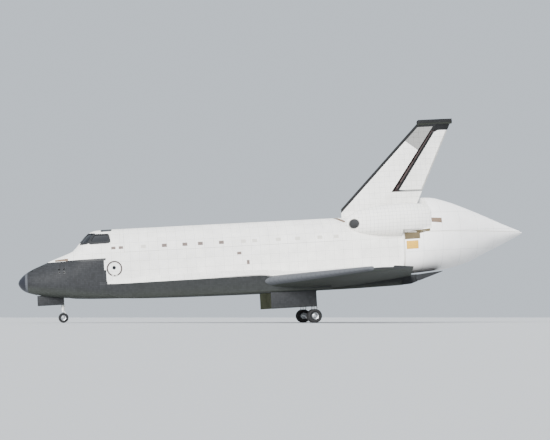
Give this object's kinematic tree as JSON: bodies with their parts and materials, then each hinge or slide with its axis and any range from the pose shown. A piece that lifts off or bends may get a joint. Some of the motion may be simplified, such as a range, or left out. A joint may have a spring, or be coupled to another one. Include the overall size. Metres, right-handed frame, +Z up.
{
  "type": "space shuttle orbiter with ferry tail cone, 1:2 scale model",
  "caption": "Winged space shuttle orbiter at half scale, standing on its gear: ferry tail cone, opening payload bay, side hatch, elevons, rudder and body flap.",
  "frame": {"origin": "middle of the craft's box, on the floor under its tyres", "axes": "+X towards the tail, so the nose points to -X; +Y to starboard; +Z up"},
  "size_m": [21.2198, 11.8786, 8.7011],
  "materials": {
    "tiles": "matte",
    "blanket_and_tiles": "matte",
    "blanket": "matte",
    "black_tiles": "matte",
    "carbon": "satin",
    "grey_carbon": "satin",
    "white_paint": "satin",
    "dark_glass": "gloss",
    "green_primer": "matte",
    "cabin_grey": "matte",
    "seat_fabric": "matte",
    "radiator_silver": "satin",
    "seal_metal": "matte",
    "engine_metal": "satin",
    "gear_metal": "satin",
    "wheel_metal": "satin",
    "tyre": "matte"
  },
  "bodies": {
    "airframe": {"nose_cap": "carbon", "forward_fuselage": "tiles", "windshield_glass": "dark_glass", "overhead_glass": "dark_glass", "cabin_bulkhead": "green_primer", "flight_deck": "cabin_grey", "seat_left": "seat_fabric", "seat_right": "seat_fabric", "mid_fuselage": "blanket_and_tiles", "aft_fuselage": "tiles", "engine_pod_right": "blanket", "engine_pod_left": "blanket", "tail_cone": "white_paint", "main_engines": "engine_metal", "wing_right": "tiles", "wing_left": "tiles", "leading_edge_right": "grey_carbon", "leading_edge_left": "grey_carbon", "fin": "tiles", "nose_leg": "gear_metal", "main_leg_left": "gear_metal", "main_leg_right": "gear_metal", "nose_gear_door_left": "black_tiles", "nose_gear_door_right": "black_tiles", "main_gear_door_left": "black_tiles", "main_gear_door_right": "black_tiles"},
    "side_hatch": {"side_hatch": "tiles"},
    "bay_door_left": {"bay_door_left": "tiles", "radiator_left": "radiator_silver"},
    "bay_door_right": {"bay_door_right": "tiles", "radiator_right": "radiator_silver"},
    "nose_steering": {"nose_piston": "gear_metal"},
    "nose_wheels": {"nose_wheels": "wheel_metal", "nose_tyre_port": "tyre", "nose_tyre_starboard": "tyre"},
    "main_wheels_left": {"main_left_wheels": "wheel_metal", "main_left_tyre_port": "tyre", "main_left_tyre_starboard": "tyre"},
    "main_wheels_right": {"main_right_wheels": "wheel_metal", "main_right_tyre_port": "tyre", "main_right_tyre_starboard": "tyre"},
    "elevon_inboard_left": {"elevon_inboard_left": "tiles"},
    "elevon_inboard_right": {"elevon_inboard_right": "tiles"},
    "elevon_outboard_left": {"elevon_outboard_left": "tiles"},
    "elevon_outboard_right": {"elevon_outboard_right": "tiles"},
    "rudder": {"rudder_shaft": "seal_metal"},
    "rudder_panel_left": {"rudder_panel_left": "tiles"},
    "rudder_panel_right": {"rudder_panel_right": "tiles"},
    "body_flap": {"body_flap": "black_tiles"}
  },
  "joints": [
    {"name": "nose_steering", "type": "hinge", "parent": "airframe", "child": "nose_steering", "pos_m": [-8.76038, 0, 0.2032], "axis": [-0.0576, 0, 0.9983], "range_deg": [-10, 10]},
    {"name": "nose_wheel_spin", "type": "hinge", "parent": "nose_steering", "child": "nose_wheels", "pos_m": [-8.76038, 0, 0.2032], "axis": [0, 1, 0], "continuous": true},
    {"name": "main_wheel_spin_left", "type": "hinge", "parent": "airframe", "child": "main_wheels_left", "pos_m": [1.41191, -1.7272, 0.28257], "axis": [0, 1, 0], "continuous": true},
    {"name": "elevon_inboard_left_turn", "type": "hinge", "parent": "airframe", "child": "elevon_inboard_left", "pos_m": [3.98726, -2.72541, 1.94902], "axis": [0.0035, 0.9981, -0.0609], "range_deg": [-35, 20]},
    {"name": "elevon_outboard_left_turn", "type": "hinge", "parent": "airframe", "child": "elevon_outboard_left", "pos_m": [3.97945, -4.94376, 2.08447], "axis": [0.0035, 0.9981, -0.0609], "range_deg": [-35, 20]},
    {"name": "bay_door_left_swing", "type": "hinge", "parent": "airframe", "child": "bay_door_left", "pos_m": [-1.74163, -1.28778, 3.12836], "axis": [0.9983, 0, 0.0576], "range_deg": [0, 175.5]},
    {"name": "main_wheel_spin_right", "type": "hinge", "parent": "airframe", "child": "main_wheels_right", "pos_m": [1.41191, 1.7272, 0.28257], "axis": [0, 1, 0], "continuous": true},
    {"name": "elevon_inboard_right_turn", "type": "hinge", "parent": "airframe", "child": "elevon_inboard_right", "pos_m": [3.98726, 2.72541, 1.94902], "axis": [-0.0035, 0.9981, 0.0609], "range_deg": [-35, 20]},
    {"name": "elevon_outboard_right_turn", "type": "hinge", "parent": "airframe", "child": "elevon_outboard_right", "pos_m": [3.97945, 4.94376, 2.08447], "axis": [-0.0035, 0.9981, 0.0609], "range_deg": [-35, 20]},
    {"name": "bay_door_right_swing", "type": "hinge", "parent": "airframe", "child": "bay_door_right", "pos_m": [-1.74163, 1.28778, 3.12836], "axis": [-0.9983, 0, -0.0576], "range_deg": [0, 175.5]},
    {"name": "side_hatch_swing", "type": "hinge", "parent": "airframe", "child": "side_hatch", "pos_m": [-6.6842, -1.32906, 1.92237], "axis": [0.9983, 0, 0.0576], "range_deg": [0, 90]},
    {"name": "rudder_turn", "type": "hinge", "parent": "airframe", "child": "rudder", "pos_m": [5.94176, 0, 6.85343], "axis": [0.523, 0, 0.8523], "range_deg": [-27.1, 27.1]},
    {"name": "speed_brake_right", "type": "hinge", "parent": "rudder", "child": "rudder_panel_right", "pos_m": [5.94176, 0, 6.85343], "axis": [0.523, 0, 0.8523], "range_deg": [0, 43.6]},
    {"name": "speed_brake_left", "type": "hinge", "parent": "rudder", "child": "rudder_panel_left", "pos_m": [5.94176, 0, 6.85343], "axis": [0.523, 0, 0.8523], "range_deg": [-43.6, 0]},
    {"name": "body_flap_turn", "type": "hinge", "parent": "airframe", "child": "body_flap", "pos_m": [5.83618, 0, 1.87339], "axis": [0, 1, 0], "range_deg": [0, 34.2]}
  ],
  "couplings": [
    {"joint": "speed_brake_left", "follows": "speed_brake_right", "ratio": -1}
  ]
}
